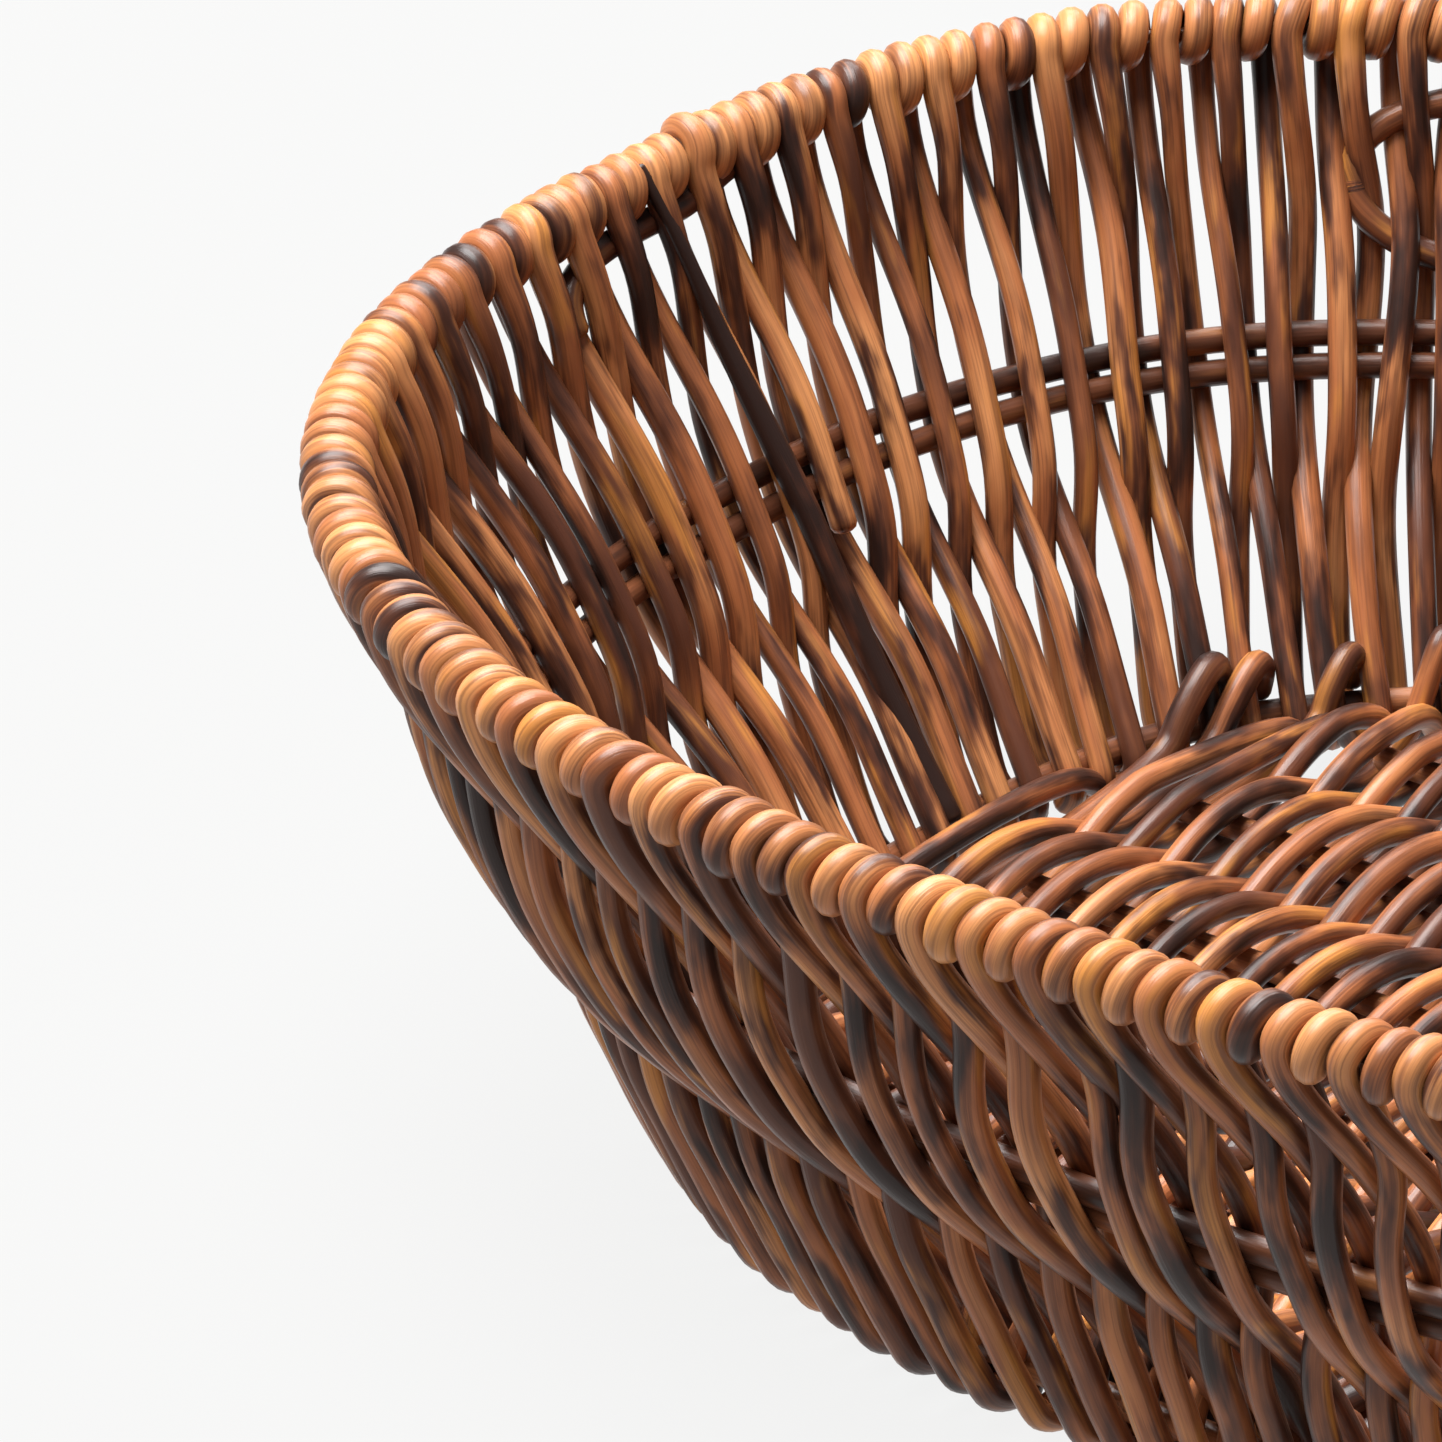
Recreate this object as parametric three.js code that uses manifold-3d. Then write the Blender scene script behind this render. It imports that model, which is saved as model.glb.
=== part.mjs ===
// Woven wicker basket: an open oval basket of round rods.
// Each rod rises from the base, laps the rim hoop and goes back down to the base.
// On the way it passes inside and outside of a pair of hoops at mid height.
// Here the rods are grouped: twenty wall bundles, twenty rim wraps, five base bundles.
// The hoops, the ribs and the two grip rings that they are woven around are whole pieces.
// Millimetres, +Z up, +X along the length, origin on the floor under the middle.

import * as THREE from "three";
import { mergeVertices } from "three/addons/utils/BufferGeometryUtils.js";
import Module from "manifold-3d";

const wasm = await Module();
wasm.setup();

// Overall shape
const RIM_HALF_LENGTH = 201.9; // to the centre of the rim hoop
const RIM_HALF_WIDTH = 162.2;
const OVAL_POWER = 2.455; // 2 is an ellipse, more is squarer
const RIM_HEIGHT = 101.6; // centre of the rim hoop above the floor
const FOOT_INSET_LENGTH = 65.9; // how far the wall leans in at each end
const FOOT_INSET_WIDTH = 44.7; // and at each side
const WALL_BULGE = 0.362; // 0 is a straight wall, more is rounder
const GAP = 0.3; // between pieces that touch

// Rods and hoops
const WRAP_RADIUS = 5.9; // outside of the rods wrapped around the rim hoop
const CORE_RADIUS = 1.0; // rim hoop itself
const HOOP_RADIUS = 2.2; // each hoop of the mid pair
const HOOP_HEIGHT = 55; // middle of the mid pair
const RING_RADIUS = 2.4; // hoop at the foot
const RING_HEIGHT = 7.5;

// Wall bundle: half thickness, outside and inside, at each height
const WALL_TOP = RIM_HEIGHT - WRAP_RADIUS - GAP;
const ROD_LAP = 7.2; // rods spread this far where they pass a hoop
const ROD_CROSS = 4.6; // and this far where they cross each other
const LOW_CROSS_HEIGHT = 29;
const HIGH_CROSS_HEIGHT = 77;

// Base
const BASE_THICKNESS = 14.4;
const RIB_RADIUS = 2.2;
const RIB_SPACING = 34.5;
const RIB_COUNT = 7;
const BASE_CUTS = [-78, -26, 26, 78]; // between the five base bundles

// Grip rings, lying in the wall under the rim
const GRIP_HALF_LENGTH = 40;
const GRIP_HALF_HEIGHT = 14;
const GRIP_HEIGHT = 77.5;
const GRIP_RADIUS = 2.3;
const GRIP_LEFT_TURN = 135.3; // oval angle of the grip ring's left end, degrees
const GRIP_POWER = 2.4;

// Facets
const OVAL_STEPS = 40;
const WRAP_SIDES = 8;
const HOOP_SIDES = 6;
const GRIP_STEPS = 20;
const BUNDLES = 20;
const SPINE = 1000; // radius of the round ring that is bent into each oval

const cane = { color: 0x8a4f2a, roughness: 0.42, metalness: 0 };
const caneLight = { color: 0xa9683a, roughness: 0.4, metalness: 0 };
const caneDark = { color: 0x5a3422, roughness: 0.5, metalness: 0 };
const basket = new THREE.Group();

function signedPower(value, power) {
  return Math.sign(value) * Math.abs(value) ** power;
}

// Share of the full foot inset that the wall has reached at this height
function lean(height) {
  const drop = (RIM_HEIGHT - height) / RIM_HEIGHT;
  return (1 - WALL_BULGE) * drop + WALL_BULGE * drop * drop;
}

// Point of the wall's middle surface, moved outwards by offset
function wallPoint(turn, height, offset) {
  const halfLength = RIM_HALF_LENGTH - FOOT_INSET_LENGTH * lean(height);
  const halfWidth = RIM_HALF_WIDTH - FOOT_INSET_WIDTH * lean(height);
  const c = Math.cos(turn);
  const s = Math.sin(turn);
  const p = new THREE.Vector2(
    halfLength * signedPower(c, 2 / OVAL_POWER),
    halfWidth * signedPower(s, 2 / OVAL_POWER)
  );
  const normal = new THREE.Vector2(
    signedPower(p.x / halfLength, OVAL_POWER - 1) / halfLength,
    signedPower(p.y / halfWidth, OVAL_POWER - 1) / halfWidth
  ).normalize();
  return p.addScaledVector(normal, offset);
}

// Turn reached after walking this far around the oval at one height
function walk(turn, height, distance) {
  const pieces = 200;
  let reached = turn;
  for (let i = 0; i < pieces; i += 1) {
    const a = wallPoint(reached, height, 0);
    const b = wallPoint(reached + 0.001, height, 0);
    reached += (distance / pieces / a.distanceTo(b)) * 0.001;
  }
  return reached;
}

function closed(geometry) {
  const bare = geometry.clone();
  bare.deleteAttribute("normal");
  bare.deleteAttribute("uv");
  return mergeVertices(bare, 1e-4);
}

function solid(geometry) {
  const shape = closed(geometry);
  const vertProperties = new Float32Array(shape.attributes.position.array);
  const triVerts = new Uint32Array(shape.index.array);
  let body = new wasm.Manifold(new wasm.Mesh({ numProp: 3, vertProperties, triVerts }));
  if (body.volume() < 0) {
    for (let i = 0; i < triVerts.length; i += 3) {
      [triVerts[i + 1], triVerts[i + 2]] = [triVerts[i + 2], triVerts[i + 1]];
    }
    body = new wasm.Manifold(new wasm.Mesh({ numProp: 3, vertProperties, triVerts }));
  }
  return body;
}

function addMesh(name, body, look) {
  const mesh = body.getMesh();
  const geometry = new THREE.BufferGeometry();
  geometry.setAttribute("position", new THREE.BufferAttribute(mesh.vertProperties, 3));
  geometry.setIndex(new THREE.BufferAttribute(mesh.triVerts, 1));
  geometry.computeVertexNormals();
  const piece = new THREE.Mesh(geometry, new THREE.MeshStandardMaterial(look));
  piece.name = name;
  basket.add(piece);
}

// A round ring with the given section, bent so that place() decides each point.
// The section is a list of [across, up] pairs and closes on itself.
function bentRing(section, steps, place) {
  const outline = section.map(([across, up]) => new THREE.Vector2(SPINE + across, up));
  outline.push(outline[0].clone());
  const ring = closed(new THREE.LatheGeometry(outline, steps));
  const position = ring.attributes.position;
  const stepAngle = (2 * Math.PI) / steps;
  for (let i = 0; i < position.count; i += 1) {
    const x = position.getX(i);
    const z = position.getZ(i);
    const turn = Math.round(Math.atan2(z, x) / stepAngle) * stepAngle;
    const p = place(turn, Math.hypot(x, z) - SPINE, position.getY(i));
    position.setXYZ(i, p.x, p.y, p.z);
  }
  return solid(ring);
}

function roundSection(radius, sides) {
  return Array.from({ length: sides }, (_, i) => {
    const angle = (2 * Math.PI * (i + 0.5)) / sides;
    return [radius * Math.cos(angle), radius * Math.sin(angle)];
  });
}

function boxSection(halfWidth, halfHeight) {
  return [
    [-halfWidth, -halfHeight],
    [halfWidth, -halfHeight],
    [halfWidth, halfHeight],
    [-halfWidth, halfHeight],
  ];
}

// A hoop, or the channel for one, that follows the wall at one height
function hoop(height, section) {
  return bentRing(section, OVAL_STEPS, (turn, across, up) => {
    const p = wallPoint(turn, height, across);
    return new THREE.Vector3(p.x, p.y, height + up);
  });
}

// A ring that leans with the wall. Its section gives [across, height] pairs.
function wallRing(section) {
  return bentRing(section, OVAL_STEPS, (turn, across, height) => {
    const p = wallPoint(turn, height, across);
    return new THREE.Vector3(p.x, p.y, height);
  });
}

// An oval ring that lies in the wall, between its inner and outer rods
function gripRing(leftTurn, radius) {
  return bentRing(roundSection(radius, HOOP_SIDES), GRIP_STEPS, (turn, across, up) => {
    const c = Math.cos(turn);
    const s = Math.sin(turn);
    const along = GRIP_HALF_LENGTH * signedPower(c, 2 / GRIP_POWER);
    const high = GRIP_HALF_HEIGHT * signedPower(s, 2 / GRIP_POWER);
    const slope = new THREE.Vector2(
      signedPower(c, 2 - 2 / GRIP_POWER) / GRIP_HALF_LENGTH,
      signedPower(s, 2 - 2 / GRIP_POWER) / GRIP_HALF_HEIGHT
    ).normalize();
    const distance = along + slope.x * across - GRIP_HALF_LENGTH;
    const height = GRIP_HEIGHT + high + slope.y * across;
    const reached = walk(leftTurn, GRIP_HEIGHT, distance);
    const p = wallPoint(reached, height, up);
    return new THREE.Vector3(p.x, p.y, height);
  });
}

// A wedge from the middle of the basket out through one bundle, cut between facet edges
function wedge(index) {
  const half = Math.PI / BUNDLES;
  const middle = 2 * half * (index + 0.25);
  const far = 1.6;
  const start = wallPoint(middle - half, RIM_HEIGHT, 0).multiplyScalar(far);
  const end = wallPoint(middle + half, RIM_HEIGHT, 0).multiplyScalar(far);
  const bisector = start.clone().normalize().add(end.clone().normalize()).normalize();
  const tip = bisector.clone().multiplyScalar(GAP / 2 / bisector.cross(end.clone().normalize()));
  const shape = new THREE.Shape([tip, start.add(tip), end.add(tip)]);
  const block = new THREE.ExtrudeGeometry(shape, { depth: 200, bevelEnabled: false });
  block.translate(0, 0, -50);
  return solid(block);
}

function twoDigits(index) {
  return String(index + 1).padStart(2, "0");
}

// Hoops that the rods are woven around
const midLow = HOOP_HEIGHT - HOOP_RADIUS - GAP / 2;
const midHigh = HOOP_HEIGHT + HOOP_RADIUS + GAP / 2;
const hoopSection = roundSection(HOOP_RADIUS, HOOP_SIDES);
addMesh("rim_core_hoop", hoop(RIM_HEIGHT, roundSection(CORE_RADIUS, HOOP_SIDES)), caneDark);
addMesh("mid_hoop_lower", hoop(midLow, hoopSection), caneDark);
addMesh("mid_hoop_upper", hoop(midHigh, hoopSection), caneDark);
addMesh("foot_ring", hoop(RING_HEIGHT, roundSection(RING_RADIUS, HOOP_SIDES)), caneDark);

// Grip rings: one on the left of the back, one turned half way round the basket
const gripTurns = [GRIP_LEFT_TURN, GRIP_LEFT_TURN + 180].map(THREE.MathUtils.degToRad);
const gripNames = ["grip_ring_back", "grip_ring_front"];
gripTurns.forEach((turn, i) => {
  addMesh(gripNames[i], gripRing(turn, GRIP_RADIUS), cane);
});

// Rim wraps, around the rim hoop
const rim = hoop(RIM_HEIGHT, roundSection(WRAP_RADIUS, WRAP_SIDES)).subtract(
  hoop(RIM_HEIGHT, roundSection(CORE_RADIUS + GAP, HOOP_SIDES))
);
for (let i = 0; i < BUNDLES; i += 1) {
  addMesh(`rim_wrap_${twoDigits(i)}`, rim.intersect(wedge(i)), caneLight);
}

// Wall bundles, in front of and behind the hoops and the grip rings
const wallSection = [
  [5, 0],
  [ROD_LAP, 4],
  [ROD_LAP, 12],
  [ROD_CROSS, LOW_CROSS_HEIGHT],
  [ROD_LAP, HOOP_HEIGHT - 4.8],
  [ROD_LAP, HOOP_HEIGHT + 4.8],
  [ROD_CROSS, HIGH_CROSS_HEIGHT],
  [5.7, WALL_TOP],
  [-5.7, WALL_TOP],
  [-ROD_CROSS, HIGH_CROSS_HEIGHT],
  [-ROD_LAP, HOOP_HEIGHT + 4.8],
  [-ROD_LAP, HOOP_HEIGHT - 4.8],
  [-ROD_CROSS, LOW_CROSS_HEIGHT],
  [-ROD_LAP, BASE_THICKNESS],
  [-ROD_LAP, 0],
];
const pairChannel = boxSection(HOOP_RADIUS + 2 * GAP, 2 * HOOP_RADIUS + 1.5 * GAP).map(
  ([across, up]) => [across, HOOP_HEIGHT + up]
);
const ringChannel = boxSection(RING_RADIUS + GAP, RING_RADIUS + GAP);
let wall = wallRing(wallSection)
  .subtract(wallRing(pairChannel))
  .subtract(hoop(RING_HEIGHT, ringChannel));
gripTurns.forEach((turn) => {
  wall = wall.subtract(gripRing(turn, GRIP_RADIUS + GAP));
});
for (let i = 0; i < BUNDLES; i += 1) {
  addMesh(`wall_weave_${twoDigits(i)}`, wall.intersect(wedge(i)), cane);
}

// Base: rods across the basket, over and under ribs that run along it
const baseSection = [
  [0, 0],
  [1, 0],
  [1, BASE_THICKNESS],
  [0, BASE_THICKNESS],
].map(([out, up]) => new THREE.Vector2(out * SPINE, up));
const disc = closed(new THREE.LatheGeometry(baseSection, OVAL_STEPS));
const discPoints = disc.attributes.position;
for (let i = 0; i < discPoints.count; i += 1) {
  const x = discPoints.getX(i);
  const z = discPoints.getZ(i);
  const up = discPoints.getY(i);
  const edge = wallPoint(Math.atan2(z, x), up, -ROD_LAP - GAP);
  const onEdge = Math.hypot(x, z) > SPINE / 2;
  discPoints.setXYZ(i, onEdge ? edge.x : 0, onEdge ? edge.y : 0, up);
}
let base = solid(disc);

function ribRod(y, halfLength, radius) {
  const rod = new THREE.CylinderGeometry(radius, radius, 2 * halfLength, 8);
  rod.rotateZ(Math.PI / 2);
  rod.rotateX(Math.PI / 8);
  rod.translate(0, y, RING_HEIGHT);
  return solid(rod);
}

for (let i = 0; i < RIB_COUNT; i += 1) {
  const y = (i - (RIB_COUNT - 1) / 2) * RIB_SPACING;
  const halfLength = RIM_HALF_LENGTH - FOOT_INSET_LENGTH;
  const halfWidth = RIM_HALF_WIDTH - FOOT_INSET_WIDTH;
  const reach = halfLength * (1 - Math.abs(y / halfWidth) ** OVAL_POWER) ** (1 / OVAL_POWER);
  const ribHalf = reach - 16;
  addMesh(`base_rib_${i + 1}`, ribRod(y, ribHalf, RIB_RADIUS), caneDark);
  base = base.subtract(ribRod(y, ribHalf + GAP, RIB_RADIUS + GAP));
}

const cutEdges = [-300, ...BASE_CUTS, 300];
for (let i = 0; i + 1 < cutEdges.length; i += 1) {
  const width = cutEdges[i + 1] - cutEdges[i] - GAP;
  const slice = new THREE.BoxGeometry(width, 600, 60);
  slice.translate((cutEdges[i] + cutEdges[i + 1]) / 2, 0, BASE_THICKNESS / 2);
  addMesh(`base_weave_${i + 1}`, base.intersect(solid(slice)), cane);
}

export default basket;
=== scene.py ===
"""The looks of the woven wicker basket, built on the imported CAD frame.

Every rod is one round tube. A wall rod climbs the wall, winds one and a half turns around the rim hoop
and comes down again three quarters of a pair further on. On the way it changes from one side of the
middle hoops to the other. Base rods cross the basket over and under the ribs.

Units are metres, in the frame of the CAD model: +X along the length, +Y along the width, +Z up.
A place on the wall is given as (pair, height, out): the number of rod pairs around the oval, the height
above the floor, and the distance outwards from the wall's middle surface.
"""

import math

import bpy
import numpy as np
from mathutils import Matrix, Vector


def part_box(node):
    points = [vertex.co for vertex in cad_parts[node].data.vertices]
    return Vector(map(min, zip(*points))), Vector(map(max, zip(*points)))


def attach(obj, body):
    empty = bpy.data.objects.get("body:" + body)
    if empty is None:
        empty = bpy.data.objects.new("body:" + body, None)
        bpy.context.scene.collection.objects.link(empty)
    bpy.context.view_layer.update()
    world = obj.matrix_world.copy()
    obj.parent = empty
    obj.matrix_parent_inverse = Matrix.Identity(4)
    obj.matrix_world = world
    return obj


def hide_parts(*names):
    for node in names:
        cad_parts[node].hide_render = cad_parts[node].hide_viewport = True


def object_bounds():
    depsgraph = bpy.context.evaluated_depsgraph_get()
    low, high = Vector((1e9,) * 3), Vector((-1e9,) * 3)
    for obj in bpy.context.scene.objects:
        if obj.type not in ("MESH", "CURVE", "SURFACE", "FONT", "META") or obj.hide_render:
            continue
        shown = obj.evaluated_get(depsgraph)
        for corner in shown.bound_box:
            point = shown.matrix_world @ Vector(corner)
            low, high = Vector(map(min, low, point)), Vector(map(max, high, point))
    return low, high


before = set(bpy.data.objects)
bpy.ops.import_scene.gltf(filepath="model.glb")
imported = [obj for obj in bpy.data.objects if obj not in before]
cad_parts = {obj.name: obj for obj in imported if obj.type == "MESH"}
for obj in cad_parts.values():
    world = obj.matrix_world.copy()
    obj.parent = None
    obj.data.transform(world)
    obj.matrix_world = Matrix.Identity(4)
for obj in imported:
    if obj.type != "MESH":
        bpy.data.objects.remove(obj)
cad_low, cad_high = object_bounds()

MM = 0.001
BODY = "root"
BUNDLES = 20  # of wall rods. These three counts are the CAD's
BASE_BUNDLES = 5  # of base rods
RIBS = 7

# Weave
OVAL_POWER = 2.455
PAIR_PITCH = 10.2 * MM  # along the rim, one pair of rods
ROD_RADIUS = 2.2 * MM
RIM_ROD_RADIUS = 2.5 * MM
RADIUS_SPREAD = 0.08  # how much the rods differ, as a share of their radius
SIDES = 12  # of each tube
WALL_POINTS = 44  # along a rod's centre line, from the rim to the foot
WIND_POINTS = 55  # and on its way around the rim hoop
WIND_RADIUS = 3.4 * MM  # of a rod's centre line around the rim hoop
WIND_TURNS = 1.5
WIND_PITCH = 0.5  # pairs moved in one turn
DRIFT = 1.25  # pairs that the rods lean sideways, rim to foot
DRIFT_HEIGHT = 75 * MM  # the lean starts here
DRIFT_POWER = 1.4  # 1 is a straight lean, more is a curve
HIGH_CROSS = (99 * MM, 60 * MM)  # heights where rods change sides, from and to
LOW_CROSS = (51 * MM, 25 * MM)
LAP = 4.6 * MM  # centre line of a rod from the wall's middle, where it passes a hoop
FOOT_FLARE = 3.8 * MM  # how much further the outer rods stand out at the foot
FLARE_HEIGHTS = (8 * MM, 27 * MM)  # full up to here, and none from here up
FOOT_LAP = 4.7 * MM  # centre line of a rod from the foot hoop's, where it bends around it
SPREAD_RIM = 0.25  # pairs an outer rod is ahead of its inner neighbour, at the rim
SPREAD_FOOT = 0.52  # and from the hoops down
STRAY = 0.12  # pairs a rod wanders sideways
EXTRA_DRIFT = 0.8  # pairs that rods move further just under the rim, on one stretch of the front
EXTRA_LIFT = 4 * MM  # and how much higher they change sides there
EXTRA_FROM = (78, 92)  # pairs over which that stretch starts
EXTRA_TO = (100, 112)  # and ends
RIM_PALER = 0.6  # added to a rod's tone on top of the rim

# Odd rods, by pair
CUT_PAIR = 57  # the outer rod of this pair is cut off just below the hoops
LOOSE_WRAP = 0.45  # how much wider that rod's first wrap stands off the rim
PATCH_PAIR = 58  # an extra, nearly black rod is pushed in here to mend the gap
PATCH_TONE = -2.2  # other rods have tones from 0 to 1, and a lower tone is darker
TAIL_PAIRS = (55.9, 60.5)  # a loose end leaves the rim here and lies behind the inner rods up to here
TAIL_TONE = -0.5

# Base
BASE_PITCH = 3.95 * MM  # from one base rod to the next
BASE_WAVE = 4.5 * MM  # how far a base rod rises above the foot hoop's height and dips below it
KNUCKLE_TOP = 17.6  # mm above the floor, where a base rod passes over the foot hoop
KNUCKLE_SPREAD = 2.2  # mm that the knuckles differ from that

# Grip rings
GRIP_RADIUS = 2.3 * MM
GRIP_HALF_LENGTH = 40 * MM
GRIP_LIFT = 1.2 * MM  # above the CAD ring
GRIP_POWER = 2.4
GRIP_LEFT_TURNS = {"grip_ring_back": 135.3, "grip_ring_front": 315.3}  # degrees around the oval

# View of the reference
VIEW_AZIMUTH = 38.67  # degrees
VIEW_ELEVATION = 26.47  # degrees
VIEW_DISTANCE = 2.0395  # from the camera to what it aims at
VIEW_LENS = 337.2  # mm
VIEW_AIM = (-0.672, -0.314)  # shares of the basket's half length and half width
VIEW_AIM_HEIGHT = 50 * MM

rng = np.random.default_rng(7)


# ---------------------------------------------------------------- the oval and the wall


def hoop_centre(node_name):
    """Half length, half width and height of a CAD hoop's centre line. Its tube has six sides."""
    low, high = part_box(node_name)
    tube = (high.z - low.z) / 2
    across = tube * math.cos(math.pi / 6)
    return high.x - across, high.y - across, (low.z + high.z) / 2


def between(a, b):
    return tuple((p + q) / 2 for p, q in zip(a, b))


RIM = hoop_centre("rim_core_hoop")
MID = between(hoop_centre("mid_hoop_lower"), hoop_centre("mid_hoop_upper"))
FOOT = hoop_centre("foot_ring")
HALF_LENGTH = np.polyfit([RIM[2], MID[2], FOOT[2]], [RIM[0], MID[0], FOOT[0]], 2)
HALF_WIDTH = np.polyfit([RIM[2], MID[2], FOOT[2]], [RIM[1], MID[1], FOOT[1]], 2)
RIM_HEIGHT = RIM[2]
MID_HEIGHT = MID[2]
FOOT_HEIGHT = FOOT[2]


def signed_power(value, power):
    return np.sign(value) * np.abs(value) ** power


def oval(turn, half_length, half_width):
    """Points of the oval and their outward normals, at these turns."""
    x = half_length * signed_power(np.cos(turn), 2 / OVAL_POWER)
    y = half_width * signed_power(np.sin(turn), 2 / OVAL_POWER)
    nx = signed_power(x / half_length, OVAL_POWER - 1) / half_length
    ny = signed_power(y / half_width, OVAL_POWER - 1) / half_width
    length = np.hypot(nx, ny)
    return x, y, nx / length, ny / length


def walk_table(half_length, half_width):
    """Turns, and the share of the way around that is reached at each of them."""
    turn = np.linspace(0, 2 * math.pi, 7201)
    x, y, _, _ = oval(turn, half_length, half_width)
    steps = np.hypot(np.diff(x), np.diff(y))
    walked = np.concatenate([[0], np.cumsum(steps)])
    return turn, walked / walked[-1], walked[-1]


RIM_TURNS, RIM_SHARES, RIM_LENGTH = walk_table(RIM[0], RIM[1])
FOOT_TURNS, FOOT_SHARES, FOOT_LENGTH = walk_table(FOOT[0], FOOT[1])
PAIRS = round(RIM_LENGTH / PAIR_PITCH)


def turn_at(pair, height):
    """The turn of a place that is this many pairs around, at a height."""
    share = np.mod(np.asarray(pair) / PAIRS, 1.0)
    at_rim = np.interp(share, RIM_SHARES, RIM_TURNS)
    at_foot = np.interp(share, FOOT_SHARES, FOOT_TURNS)
    drop = np.clip((RIM_HEIGHT - height) / (RIM_HEIGHT - FOOT_HEIGHT), 0, 1)
    return at_rim + (at_foot - at_rim) * drop


def wall_points(pair, height, out, lean_height=None):
    """3-D points of places on the wall. lean_height is the height whose oval is used, if not their own."""
    level = np.broadcast_to(height if lean_height is None else lean_height, np.shape(height))
    turn = turn_at(pair, level)
    x, y, nx, ny = oval(turn, np.polyval(HALF_LENGTH, level), np.polyval(HALF_WIDTH, level))
    return np.stack([x + nx * out, y + ny * out, height + 0 * x], axis=-1)


def smooth_step(value, start, end):
    t = np.clip((value - start) / (end - start), 0, 1)
    return t * t * (3 - 2 * t)


def relax(points, passes):
    """Rounds off kinks in an open line of points."""
    for _ in range(passes):
        middle = (points[:-2] + 2 * points[1:-1] + points[2:]) / 4
        points = np.concatenate([points[:1], middle, points[-1:]])
    return points


def spline(corners, steps):
    """A Catmull-Rom line through these corners."""
    corners = np.asarray(corners, float)
    padded = np.concatenate([2 * corners[:1] - corners[1:2], corners, 2 * corners[-1:] - corners[-2:-1]])
    found = []
    for i in range(len(corners) - 1):
        a, b, c, d = padded[i : i + 4]
        for t in np.arange(steps) / steps:
            cube = 2 * a - 5 * b + 4 * c - d
            found.append(0.5 * (2 * b + (c - a) * t + cube * t * t + (3 * b - a - 3 * c + d) * t**3))
    found.append(corners[-1])
    return np.array(found)


def wobble(count, size, waves=3):
    """A slow random wander along a rod, about zero."""
    t = np.linspace(0, 1, count)
    total = np.zeros(count)
    for i in range(waves):
        total += rng.normal() * np.sin(2 * math.pi * ((i + 1) * 0.6 * t + rng.random()))
    return size * total / math.sqrt(waves)


# ---------------------------------------------------------------- round tubes


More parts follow.
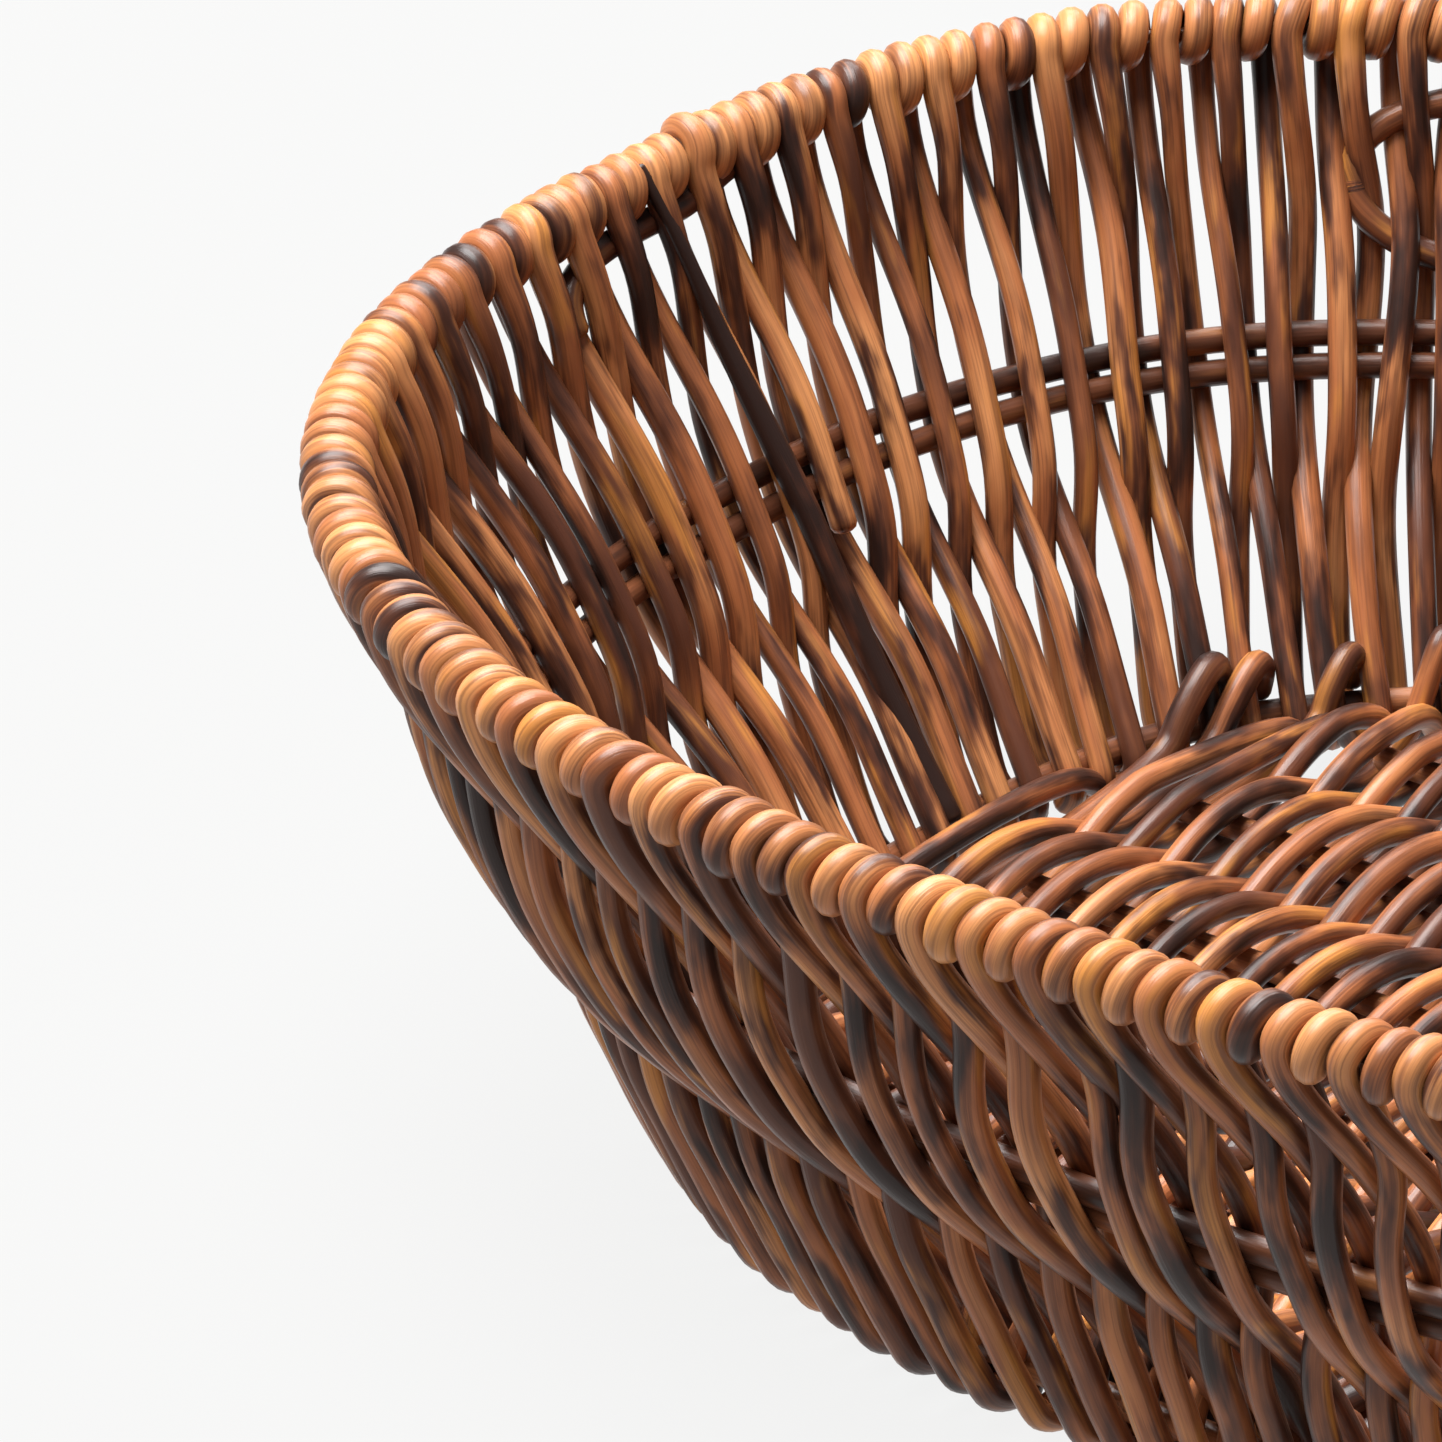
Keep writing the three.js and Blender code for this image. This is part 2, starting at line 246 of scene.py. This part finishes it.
class Rods:
    """Round tubes gathered into one mesh, with what their material needs stored at each point."""

    def __init__(self):
        self.points = []
        self.places = []
        self.tones = []
        self.faces = []
        self.caps = []
        self.count = 0

    def add(self, line, radius, closed=False, tone=None):
        """One rod along a line of points. radius is a number or one for each point."""
        line = np.asarray(line, float)
        radius = np.broadcast_to(radius, len(line)).astype(float)
        if not closed:
            line, radius = round_ends(line, radius)
        side, up = line_frames(line, closed)
        walked = np.concatenate([[0], np.cumsum(np.linalg.norm(np.diff(line, axis=0), axis=1))])
        angle = 2 * math.pi * np.arange(SIDES) / SIDES
        ring = np.cos(angle)[None, :, None] * side[:, None] + np.sin(angle)[None, :, None] * up[:, None]
        points = line[:, None] + radius[:, None, None] * ring
        start = rng.uniform(-50, 50, 3)
        around = np.stack([np.cos(angle), np.sin(angle)], axis=-1) * radius.max()
        place = np.zeros(points.shape)
        place[..., 0] = around[:, 0] + start[0]
        place[..., 1] = around[:, 1] + start[1]
        place[..., 2] = walked[:, None] + start[2]
        self._join(points, closed)
        self.points.append(points.reshape(-1, 3))
        self.places.append(place.reshape(-1, 3))
        tone = rng.random() if tone is None else tone
        paler = RIM_PALER * smooth_step(line[:, 2], RIM_HEIGHT - 9 * MM, RIM_HEIGHT + 3 * MM)
        self.tones.append(np.repeat(tone + paler, SIDES))
        self.count += points.shape[0] * SIDES

    def _join(self, points, closed):
        """The faces between a tube's rings of points, and over its open ends."""
        rings = len(points)
        first = self.count + np.arange(rings if closed else rings - 1)[:, None] * SIDES
        step = np.arange(SIDES)[None, :]
        after = (step + 1) % SIDES
        next_ring = first + SIDES
        if closed:
            next_ring = np.where(next_ring >= self.count + rings * SIDES, self.count, next_ring)
        quads = np.stack([first + step, first + after, next_ring + after, next_ring + step], axis=-1)
        self.faces.append(quads.reshape(-1, 4))
        if not closed:
            last = self.count + (rings - 1) * SIDES
            self.caps.append(np.arange(self.count + SIDES - 1, self.count - 1, -1))
            self.caps.append(np.arange(last, last + SIDES))

    def mesh_object(self, name, material, slot, *nodes):
        """Turns the gathered tubes into a piece that stands for these CAD nodes."""
        points = np.concatenate(self.points)
        quads = np.concatenate(self.faces)
        corners = np.concatenate([quads.reshape(-1)] + self.caps)
        totals = np.concatenate([np.full(len(quads), 4), [len(c) for c in self.caps]]).astype(np.int32)
        starts = np.concatenate([[0], np.cumsum(totals)[:-1]]).astype(np.int32)
        mesh = bpy.data.meshes.new(name)
        mesh.vertices.add(len(points))
        mesh.vertices.foreach_set("co", points.astype(np.float32).reshape(-1))
        mesh.loops.add(len(corners))
        mesh.loops.foreach_set("vertex_index", corners.astype(np.int32))
        mesh.polygons.add(len(totals))
        mesh.polygons.foreach_set("loop_start", starts)
        mesh.polygons.foreach_set("loop_total", totals)
        mesh.polygons.foreach_set("use_smooth", np.ones(len(totals), bool))
        mesh.update(calc_edges=True)
        place = mesh.attributes.new("rod_place", "FLOAT_VECTOR", "POINT")
        place.data.foreach_set("vector", np.concatenate(self.places).astype(np.float32).reshape(-1))
        tone = mesh.attributes.new("rod_tone", "FLOAT", "POINT")
        tone.data.foreach_set("value", np.concatenate(self.tones).astype(np.float32))
        mesh.materials.append(material)
        piece = bpy.data.objects.new(name, mesh)
        bpy.context.scene.collection.objects.link(piece)
        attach(piece, BODY)
        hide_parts(*nodes)


def round_ends(line, radius):
    """Adds shrinking rings, so that a cut end is softly rounded."""
    angles = np.radians([35, 62, 82])
    for at_start in (True, False):
        tip, behind, size = (line[0], line[1], radius[0]) if at_start else (line[-1], line[-2], radius[-1])
        forward = (tip - behind) / np.linalg.norm(tip - behind)
        extra = tip + forward * (0.6 * size * np.sin(angles))[:, None]
        shrunk = size * np.cos(angles)
        if at_start:
            line = np.concatenate([extra[::-1], line])
            radius = np.concatenate([shrunk[::-1], radius])
        else:
            line = np.concatenate([line, extra])
            radius = np.concatenate([radius, shrunk])
    return line, radius


def line_frames(line, closed):
    """Two directions across the line at each point, with as little twist as possible."""
    if closed:
        tangent = np.roll(line, -1, axis=0) - np.roll(line, 1, axis=0)
    else:
        tangent = np.gradient(line, axis=0)
    tangent /= np.linalg.norm(tangent, axis=1)[:, None]
    if closed:
        side = np.cross(tangent, np.array([0.0, 0.0, 1.0]))
        side /= np.linalg.norm(side, axis=1)[:, None]
        return side, np.cross(side, tangent)
    helper = np.eye(3)[np.argmin(np.abs(tangent[0]))]
    current = np.cross(tangent[0], helper)
    side = np.empty_like(tangent)
    for i, direction in enumerate(tangent):
        current = current - direction * current.dot(direction)
        current /= np.linalg.norm(current)
        side[i] = current
    return side, np.cross(side, tangent)


# ---------------------------------------------------------------- paths of the rods


def leaning(pair):
    """1 on the stretch where the rods lean more than elsewhere, and 0 away from it."""
    return smooth_step(pair, *EXTRA_FROM) * (1 - smooth_step(pair, *EXTRA_TO))


def side_of_hoops(height, pair):
    """-1 where a rod that is inside at the rim is inside, and 1 where it is outside."""
    high = 1 - smooth_step(height - EXTRA_LIFT * leaning(pair), HIGH_CROSS[1], HIGH_CROSS[0])
    low = smooth_step(height, LOW_CROSS[1], LOW_CROSS[0])
    return 2 * high * low - 1


def lap_at(height):
    """How far a rod lies from the wall's middle."""
    near_rim = smooth_step(height, HIGH_CROSS[0] - 10 * MM, RIM_HEIGHT)
    return LAP + (WIND_RADIUS - LAP) * near_rim


def flare(height):
    """How much further the outer rods stand out, where they bend back under the foot."""
    return FOOT_FLARE * (1 - smooth_step(height, *FLARE_HEIGHTS))


def sideways(height, pair):
    """Pairs that a rod has moved sideways on its way down to this height."""
    drop = np.clip((DRIFT_HEIGHT - height) / (DRIFT_HEIGHT - FOOT_HEIGHT), 0, 1.1)
    extra = EXTRA_DRIFT * leaning(pair) * (1 - smooth_step(height, 79 * MM, RIM_HEIGHT - 2 * MM))
    return DRIFT * drop**DRIFT_POWER + extra


def spread(height, pair):
    """How far, in pairs, an outer rod at the rim is ahead of its inner neighbour."""
    levels = [MID_HEIGHT, 78 * MM, RIM_HEIGHT]
    everywhere = np.interp(height, levels, [SPREAD_FOOT, 0.44, SPREAD_RIM])
    levels = [38 * MM, 50 * MM, 60 * MM, 70 * MM, 79 * MM]
    between_crossings = np.interp(height, levels, [0, 0.35, 0.5, 0.35, 0])
    return everywhere + between_crossings * leaning(pair)


def stray(height):
    """Each rod's own small wandering, in pairs. The rim holds the rods in place."""
    loose = 1 - smooth_step(height, RIM_HEIGHT - 30 * MM, RIM_HEIGHT - 4 * MM)
    return loose * (0.055 * rng.normal() + wobble(len(height), STRAY, 2))


def foot_turn(pair, from_angle, to_angle, extra=0.0, steps=9):
    """Around the foot hoop, standing off it by an extra amount.

    Angle 0 is outside of the hoop and -90 is under it.
    """
    angle = np.radians(np.linspace(from_angle, to_angle, steps + 1)[1:])
    height = FOOT_HEIGHT + FOOT_LAP * np.sin(angle)
    out = (FOOT_LAP + extra) * np.cos(angle)
    level = np.full(steps, FOOT_HEIGHT)
    return wall_points(np.full(steps, pair), height, out, level)


def wall_rod(pair):
    """Centre line of one rod: up inside, around the rim hoop, down outside."""
    down = np.linspace(RIM_HEIGHT - 1 * MM, FOOT_HEIGHT, WALL_POINTS)
    inner_pair = pair + sideways(down, pair) + stray(down)
    inner_out = lap_at(down) * side_of_hoops(down, pair) + wobble(len(down), 0.15 * MM, 2)
    inner = wall_points(inner_pair, down, inner_out)
    inner_end = foot_turn(inner_pair[-1], 180, 232)

    angle = np.linspace(0, 2 * math.pi * WIND_TURNS, WIND_POINTS)
    middle = np.sin(angle / WIND_TURNS / 2)
    wind_pair = pair - WIND_PITCH * angle / (2 * math.pi) + 0.06 * rng.normal() * middle
    size = WIND_RADIUS * (1 + middle * (wobble(len(angle), 0.045, 2) + 0.045 * rng.normal()))
    if pair == CUT_PAIR:
        size *= 1 + LOOSE_WRAP * np.sin(angle) * (angle < math.pi)
    wind_out = -size * np.cos(angle)
    wind_height = RIM_HEIGHT + size * np.sin(angle)
    wind = wall_points(wind_pair, wind_height, wind_out, RIM_HEIGHT)

    outer_pair = pair - 1 + spread(down, pair) + sideways(down, pair - 1) + stray(down)
    outer_out = -lap_at(down) * side_of_hoops(down, pair) + flare(down) + wobble(len(down), 0.15 * MM, 2)
    outer = wall_points(outer_pair, down, outer_out)
    outer_end = foot_turn(outer_pair[-1], 0, -102, flare(FOOT_HEIGHT))
    if pair == CUT_PAIR:
        outer = outer[down > MID_HEIGHT - 8 * MM]
        outer_end = outer[-1:]

    line = np.concatenate([inner_end[::-1], inner[::-1], wind, outer, outer_end])
    return relax(line, 4)


def wall_radius(line):
    """Rods are a little thicker on the rim, and wander in thickness."""
    at_rim = smooth_step(line[:, 2], RIM_HEIGHT - 12 * MM, RIM_HEIGHT - 2 * MM)
    size = ROD_RADIUS * (1 + RADIUS_SPREAD * np.clip(rng.normal(), -2, 2))
    radius = size + (RIM_ROD_RADIUS - ROD_RADIUS + 0.5 * (ROD_RADIUS - size)) * at_rim
    return radius * (1 + wobble(len(line), 0.015))


def tail_line():
    """A loose end of cane that leaves the rim, lies behind the inner rods and hangs down at its tip."""
    share = np.linspace(0, 1, 40)
    pair = TAIL_PAIRS[0] + (TAIL_PAIRS[1] - TAIL_PAIRS[0]) * np.sin(share * math.pi / 2) ** 1.1
    sag = 2.6 * MM * smooth_step(share, 0, 0.25)
    tip_drop = 9 * MM * share**4
    height = RIM_HEIGHT - 3 * MM - sag - tip_drop
    return wall_points(pair, height, -0.6 * MM + wobble(len(share), 0.2 * MM))


def patch_line():
    """The extra rod: pushed in at the top of the rim, then straight down on the inside of everything."""
    top = RIM_HEIGHT + 3.5 * MM
    height = np.linspace(top, FOOT_HEIGHT + 3 * MM, 50)
    pair = PATCH_PAIR + 0.25 - 0.5 * np.sin(math.pi * (top - height) / (130 * MM)) ** 0.7
    levels = [10 * MM, 35 * MM, MID_HEIGHT, 80 * MM, 92 * MM, top]
    out = np.interp(height, levels, [-5 * MM, -6 * MM, -7.6 * MM, -5.5 * MM, -5.6 * MM, -3.6 * MM])
    return relax(wall_points(pair, height, out), 6)


# ---------------------------------------------------------------- materials


def node(tree, kind, **settings):
    made = tree.nodes.new(kind)
    for key, value in settings.items():
        setattr(made, key, value)
    return made


def noise(tree, vector, scale, detail=2.0, rough=0.5):
    made = node(tree, "ShaderNodeTexNoise")
    made.inputs["Scale"].default_value = scale
    made.inputs["Detail"].default_value = detail
    made.inputs["Roughness"].default_value = rough
    tree.links.new(vector, made.inputs["Vector"])
    return made.outputs["Fac"]


def stretch(tree, vector, across, along):
    """The rod's own coordinates, scaled across and along it."""
    made = node(tree, "ShaderNodeMapping")
    made.inputs["Scale"].default_value = (across, across, along)
    tree.links.new(vector, made.inputs["Vector"])
    return made.outputs["Vector"]


def ramp(tree, value, low, high):
    """0 below low, 1 above high."""
    made = node(tree, "ShaderNodeMapRange", interpolation_type="SMOOTHSTEP")
    made.inputs["From Min"].default_value = low
    made.inputs["From Max"].default_value = high
    tree.links.new(value, made.inputs["Value"])
    return made.outputs["Result"]


def blend(tree, share, first, second):
    """Mixes two colours, each a socket or a plain colour."""
    made = node(tree, "ShaderNodeMix", data_type="RGBA")
    tree.links.new(share, made.inputs[0])
    for socket, value in ((made.inputs[6], first), (made.inputs[7], second)):
        if isinstance(value, bpy.types.NodeSocket):
            tree.links.new(value, socket)
        else:
            socket.default_value = (*value, 1)
    return made.outputs[2]


def arithmetic(tree, operation, first, second):
    made = node(tree, "ShaderNodeMath", operation=operation)
    for socket, value in zip(made.inputs, (first, second)):
        if isinstance(value, bpy.types.NodeSocket):
            tree.links.new(value, socket)
        else:
            socket.default_value = value
    return made.outputs[0]


def cane_material(name, pale, golden, mid, dark, black, darkness=0.0):
    """Stained cane.

    The body colour wanders along each rod, with dark burns, golden stretches and fine fibres.
    """
    material = bpy.data.materials.new(name)
    material.use_nodes = True
    tree = material.node_tree
    shader = tree.nodes["Principled BSDF"]
    place = node(tree, "ShaderNodeAttribute", attribute_name="rod_place").outputs["Vector"]
    tone = node(tree, "ShaderNodeAttribute", attribute_name="rod_tone").outputs["Fac"]

    slow = noise(tree, stretch(tree, place, 110, 30), 1.0, 3.0, 0.55)
    patches = noise(tree, stretch(tree, place, 150, 38), 1.0, 3.0, 0.55)
    honey = noise(tree, stretch(tree, place, 170, 34), 1.0, 2.0, 0.5)
    fibres = noise(tree, stretch(tree, place, 2400, 50), 1.0, 3.0, 0.6)
    streaks = noise(tree, stretch(tree, place, 700, 24), 1.0, 2.0, 0.5)
    grain = noise(tree, stretch(tree, place, 1500, 300), 1.0, 3.0, 0.6)

    level = arithmetic(tree, "ADD", slow, arithmetic(tree, "MULTIPLY", tone, 0.30))
    body = blend(tree, ramp(tree, level, 0.40, 0.72), dark, mid)
    body = blend(tree, ramp(tree, level, 0.66, 0.98), body, pale)
    honey_share = arithmetic(tree, "MULTIPLY", ramp(tree, honey, 0.54, 0.68), 0.8)
    body = blend(tree, honey_share, body, golden)
    streak_share = arithmetic(tree, "MULTIPLY", ramp(tree, streaks, 0.48, 0.70), 0.5)
    body = blend(tree, streak_share, body, dark)
    fibre_share = arithmetic(tree, "MULTIPLY", ramp(tree, fibres, 0.44, 0.66), 0.36)
    body = blend(tree, fibre_share, body, dark)
    burn = arithmetic(tree, "ADD", patches, arithmetic(tree, "MULTIPLY", fibres, 0.12))
    burn = arithmetic(tree, "SUBTRACT", burn, arithmetic(tree, "MULTIPLY", tone, 0.10))
    body = blend(tree, ramp(tree, burn, 0.44 - darkness, 0.60 - darkness), body, dark)
    body = blend(tree, ramp(tree, burn, 0.54 - darkness, 0.68 - darkness), body, black)
    tree.links.new(body, shader.inputs["Base Color"])

    rough = node(tree, "ShaderNodeMapRange")
    rough.inputs["To Min"].default_value = 0.24
    rough.inputs["To Max"].default_value = 0.42
    tree.links.new(grain, rough.inputs["Value"])
    tree.links.new(rough.outputs["Result"], shader.inputs["Roughness"])
    shader.inputs["Specular IOR Level"].default_value = 0.29

    bump = node(tree, "ShaderNodeBump")
    bump.inputs["Strength"].default_value = 0.4
    bump.inputs["Distance"].default_value = 0.0002
    height = arithmetic(tree, "ADD", fibres, arithmetic(tree, "MULTIPLY", grain, 0.5))
    tree.links.new(height, bump.inputs["Height"])
    tree.links.new(bump.outputs["Normal"], shader.inputs["Normal"])
    return material


def srgb(red, green, blue):
    """A colour as seen on a screen, 0 to 255, turned into the shader's linear values."""
    def linear(value):
        share = value / 255
        return share / 12.92 if share <= 0.04045 else ((share + 0.055) / 1.055) ** 2.4

    return tuple(linear(v) for v in (red, green, blue))


CANE = cane_material(
    "stained_cane",
    srgb(196, 133, 83),
    srgb(184, 121, 57),
    srgb(156, 94, 57),
    srgb(82, 47, 33),
    srgb(42, 27, 23),
)
DARK_CANE = cane_material(
    "dark_cane",
    srgb(166, 106, 68),
    srgb(150, 96, 52),
    srgb(128, 76, 48),
    srgb(86, 50, 34),
    srgb(50, 32, 26),
    -0.01,
)


# ---------------------------------------------------------------- pieces


def two_digits(number):
    return f"{number:02d}"


def build_wall():
    """The bundles of wall rods, the same as the CAD has."""
    gathered = [Rods() for _ in range(BUNDLES)]
    for pair in range(PAIRS):
        turn = float(turn_at(pair, RIM_HEIGHT))
        index = int(turn / (2 * math.pi) * BUNDLES + 0.25) % BUNDLES
        line = wall_rod(pair)
        gathered[index].add(line, wall_radius(line))
        if pair == round(TAIL_PAIRS[1]):
            gathered[index].add(tail_line(), ROD_RADIUS * 1.02, tone=TAIL_TONE)
        if pair == PATCH_PAIR:
            line = patch_line()
            thin_top = 0.5 + 0.5 * smooth_step(RIM_HEIGHT - line[:, 2], 0, 45 * MM)
            gathered[index].add(line, ROD_RADIUS * thin_top, tone=PATCH_TONE)
    for index, rods in enumerate(gathered):
        label = two_digits(index + 1)
        rods.mesh_object(f"wall_rods_{label}", CANE, "cane", f"rim_wrap_{label}", f"wall_weave_{label}")


def build_hoop(name, node_name, steps=160):
    """A round, slightly uneven hoop in place of a faceted one."""
    half_length, half_width, height = hoop_centre(node_name)
    low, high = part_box(node_name)
    radius = (high.z - low.z) / 2
    waves = wobble_ring(steps, 0.25 * MM)
    turn = np.linspace(0, 2 * math.pi, steps, endpoint=False)
    x, y, nx, ny = oval(turn, half_length, half_width)
    line = np.stack([x + nx * waves, y + ny * waves, height + wobble_ring(steps, 0.25 * MM)], axis=-1)
    rods = Rods()
    rods.add(line, radius * 0.97, closed=True)
    rods.mesh_object(name, DARK_CANE, "cane_dark", node_name)


def wobble_ring(count, size):
    """A slow random wander that meets itself around a ring."""
    turn = np.linspace(0, 2 * math.pi, count, endpoint=False)
    total = np.zeros(count)
    for waves in (3, 7, 11):
        total += rng.normal() * np.sin(waves * turn + rng.uniform(0, 2 * math.pi))
    return size * total / math.sqrt(3)


def base_edge(x):
    """Half width of the foot hoop's oval at this distance along the basket."""
    return FOOT[1] * (1 - min(abs(x) / FOOT[0], 1) ** OVAL_POWER) ** (1 / OVAL_POWER)


def rib_spacing():
    low_a, high_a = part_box("base_rib_4")
    low_b, high_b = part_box("base_rib_5")
    return (low_b.y + high_b.y - low_a.y - high_a.y) / 2


def ribs_at(x, edge):
    """Places of the ribs that a base rod at this x crosses, well inside the foot hoop."""
    places = []
    for number in range(1, RIBS + 1):
        low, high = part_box(f"base_rib_{number}")
        middle = (low.y + high.y) / 2
        if abs(x) < high.x + 10 * MM and abs(middle) < edge - 7 * MM:
            places.append(middle)
    return places or [0.0]


def base_end(x, sign, edge, last, over_hoop):
    """The last corners of a base rod, from its last rib to the wall.

    A rod that passes over the foot hoop shows as a narrow knuckle between the inner wall rods. The others
    duck under the hoop at the foot of an inner wall rod.
    """
    turn = math.atan2(sign * (edge / FOOT[1]) ** (OVAL_POWER / 2), signed_power(x / FOOT[0], OVAL_POWER / 2))
    pair = np.interp(turn % (2 * math.pi), FOOT_TURNS, FOOT_SHARES) * PAIRS
    moved = DRIFT + (SPREAD_FOOT if over_hoop else 0)
    at_rim = round(pair - moved - EXTRA_DRIFT * leaning(pair - moved))
    pair = at_rim + moved + EXTRA_DRIFT * leaning(at_rim) + rng.normal() * 0.05
    # Each corner is mm out from the foot hoop, and mm above the floor
    if over_hoop:
        top = KNUCKLE_TOP + rng.uniform(-KNUCKLE_SPREAD, KNUCKLE_SPREAD)
        shape = [(-8.2, 6.2), (-5.2, 11.8), (-1.9, top), (1.6, top - 2.2), (3.4, 10.4)]
    else:
        shape = [(-9.2, 9.6), (-6.2, 4.9), (-3.2, 3.0), (2.4, 2.7)]
    turn = float(turn_at(pair, FOOT_HEIGHT))
    hoop_x, hoop_y, normal_x, normal_y = oval(turn, FOOT[0], FOOT[1])
    stretched = min(1 / max(abs(normal_y), 0.4), 0.8 * (edge - last) / (9 * MM))
    corners = []
    for out, height in shape:
        if out < 0:  # inside of the hoop, where the rod runs straight across the basket
            place = (hoop_x, hoop_y + sign * out * MM * stretched)
        else:
            place = (hoop_x + normal_x * out * MM, hoop_y + normal_y * out * MM)
        corners.append([*place, height * MM])
    return np.array(corners)


def base_rod(x, parity):
    """Centre line of a rod across the base, over and under the ribs in turn."""
    edge = base_edge(x)
    spacing = rib_spacing()
    last = max(ribs_at(x, edge))
    over_last = (round(last / spacing) + parity) % 2 == 0
    y = np.linspace(-last, last, max(1, round(last / spacing) * 12 + 1))
    wave = np.cos(math.pi * y / spacing) * (1 if parity == 0 else -1)
    z = FOOT_HEIGHT + BASE_WAVE * np.sign(wave) * np.abs(wave) ** 0.8
    middle = np.stack([x + wobble(len(y), 0.6 * MM), y, z], axis=-1)
    ends = [base_end(x, sign, edge, last, not over_last) for sign in (-1, 1)]
    return relax(spline(np.concatenate([ends[0][::-1], middle, ends[1]]), 4), 3)


def build_base():
    """The bundles of base rods, divided where the CAD divides them."""
    names = [f"base_weave_{i + 1}" for i in range(BASE_BUNDLES)]
    boxes = [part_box(name) for name in names]
    gathered = [Rods() for _ in names]
    reach = int((FOOT[0] - 5 * MM) / BASE_PITCH)
    for step in range(-reach, reach + 1):
        x = step * BASE_PITCH
        index = int(np.argmin([max(low.x - x, x - high.x) for low, high in boxes]))
        size = ROD_RADIUS * (1 + RADIUS_SPREAD * np.clip(rng.normal(), -2, 2))
        gathered[index].add(base_rod(x, step % 2), size)
    for number, (name, rods) in enumerate(zip(names, gathered), start=1):
        rods.mesh_object(f"base_rods_{number}", CANE, "cane", name)


def build_ribs():
    for number in range(1, RIBS + 1):
        low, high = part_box(f"base_rib_{number}")
        count = 40
        x = np.linspace(low.x, high.x, count)
        y = (low.y + high.y) / 2 + wobble(count, 0.3 * MM)
        z = (low.z + high.z) / 2 + wobble(count, 0.2 * MM)
        rods = Rods()
        rods.add(np.stack([x, y, z], axis=-1), (high.z - low.z) / 2)
        rods.mesh_object(f"rib_rod_{number}", DARK_CANE, "cane_dark", f"base_rib_{number}")


def grip_line(node_name, steps=72):
    """Centre line of a grip ring, laid in the wall between the CAD ring's ends."""
    low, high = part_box(node_name)
    half_height = (high.z - low.z) / 2 - GRIP_RADIUS
    middle = (high.z + low.z) / 2 + GRIP_LIFT
    left_turn = math.radians(GRIP_LEFT_TURNS[node_name])
    left_pair = np.interp(left_turn, RIM_TURNS, RIM_SHARES) * PAIRS
    turn = np.linspace(0, 2 * math.pi, steps, endpoint=False)
    power = 2 / GRIP_POWER
    along = GRIP_HALF_LENGTH * signed_power(np.cos(turn), power) - GRIP_HALF_LENGTH
    height = middle + half_height * signed_power(np.sin(turn), power)
    level_share = (RIM_HEIGHT - middle) / (RIM_HEIGHT - FOOT_HEIGHT)
    around = RIM_LENGTH + (FOOT_LENGTH - RIM_LENGTH) * level_share
    return wall_points(left_pair + along / around * PAIRS, height, np.zeros(steps))


def build_grips():
    for name in GRIP_LEFT_TURNS:
        rods = Rods()
        rods.add(grip_line(name), GRIP_RADIUS, closed=True)
        rods.mesh_object(name.replace("ring", "rod"), CANE, "cane", name)


build_wall()
build_hoop("rim_core_rod", "rim_core_hoop")
build_hoop("mid_hoop_rod_lower", "mid_hoop_lower")
build_hoop("mid_hoop_rod_upper", "mid_hoop_upper")
build_hoop("foot_ring_rod", "foot_ring")
build_base()
build_ribs()
build_grips()


# ---------------------------------------------------------------- floor, light and camera


def build_floor():
    bpy.ops.mesh.primitive_plane_add(size=40)
    floor = bpy.context.object
    floor.name = "floor"
    material = bpy.data.materials.new("pale_floor")
    material.use_nodes = True
    shader = material.node_tree.nodes["Principled BSDF"]
    shader.inputs["Base Color"].default_value = (0.014, 0.014, 0.014, 1)
    shader.inputs["Emission Color"].default_value = (1, 1, 0.995, 1)
    shader.inputs["Emission Strength"].default_value = 0.865
    shader.inputs["Roughness"].default_value = 0.9
    shader.inputs["Specular IOR Level"].default_value = 0.1
    floor.data.materials.append(material)


def build_light():
    world = bpy.data.worlds.new("studio")
    world.use_nodes = True
    background = world.node_tree.nodes["Background"]
    background.inputs["Color"].default_value = (1, 0.99, 0.98, 1)
    background.inputs["Strength"].default_value = 0.25
    bpy.context.scene.world = world
    add_softbox("key_light", (-0.9, -0.2, 2.5), 2.1, 256)
    add_softbox("back_light", (-1.1, 1.5, 1.8), 1.8, 60)


def add_softbox(name, place, size, power):
    """A square soft light that faces the middle of the basket."""
    lamp = bpy.data.lights.new(name, "AREA")
    lamp.shape = "SQUARE"
    lamp.size = size
    lamp.energy = power
    holder = bpy.data.objects.new(name, lamp)
    holder.location = place
    direction = Vector((0, 0, 0.05)) - Vector(place)
    holder.rotation_euler = direction.to_track_quat("-Z", "Y").to_euler()
    bpy.context.scene.collection.objects.link(holder)


def build_camera():
    azimuth = math.radians(VIEW_AZIMUTH)
    elevation = math.radians(VIEW_ELEVATION)
    back = Vector(
        (
            math.sin(azimuth) * math.cos(elevation),
            -math.cos(azimuth) * math.cos(elevation),
            math.sin(elevation),
        )
    )
    aim = Vector((VIEW_AIM[0] * cad_high.x, VIEW_AIM[1] * cad_high.y, VIEW_AIM_HEIGHT))
    lens = bpy.data.cameras.new("camera")
    lens.lens = VIEW_LENS
    lens.sensor_width = 36
    lens.clip_end = 100
    camera = bpy.data.objects.new("camera", lens)
    camera.location = aim + back * VIEW_DISTANCE
    camera.rotation_euler = (-back).to_track_quat("-Z", "Y").to_euler()
    bpy.context.scene.collection.objects.link(camera)
    bpy.context.scene.camera = camera


build_floor()
build_light()
build_camera()
bpy.context.scene.view_settings.view_transform = "Standard"
